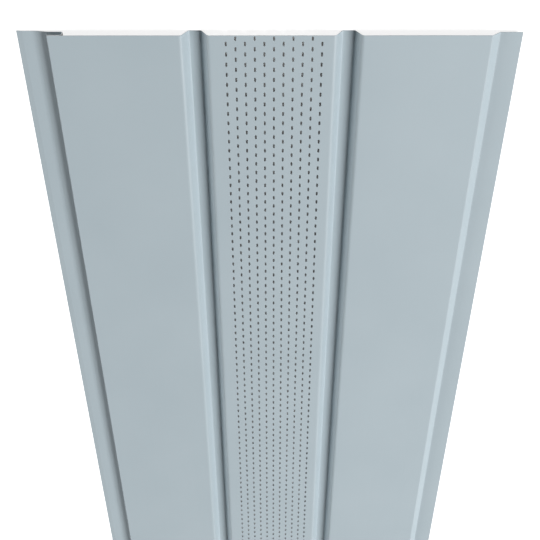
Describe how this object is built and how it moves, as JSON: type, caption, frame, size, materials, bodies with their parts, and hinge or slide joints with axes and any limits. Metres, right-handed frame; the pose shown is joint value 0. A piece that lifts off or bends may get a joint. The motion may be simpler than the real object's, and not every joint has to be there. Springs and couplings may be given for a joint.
{
  "type": "vented soffit panel",
  "caption": "Vented soffit panel: a folded, painted aluminium sheet with flat pans, recessed grooves, a slotted air strip and side edges that lock together.",
  "frame": {"origin": "under the middle of the panel's box, on the surface that it lies on", "axes": "+Z out of the painted face, +Y along the panel, +X from the nail flange to the stepped flange"},
  "size_m": [0.3338, 0.6096, 0.0085],
  "materials": {
    "painted_sheet": "satin grey coil paint"
  },
  "bodies": {
    "root": {"soffit_panel": "painted_sheet"}
  },
  "joints": []
}
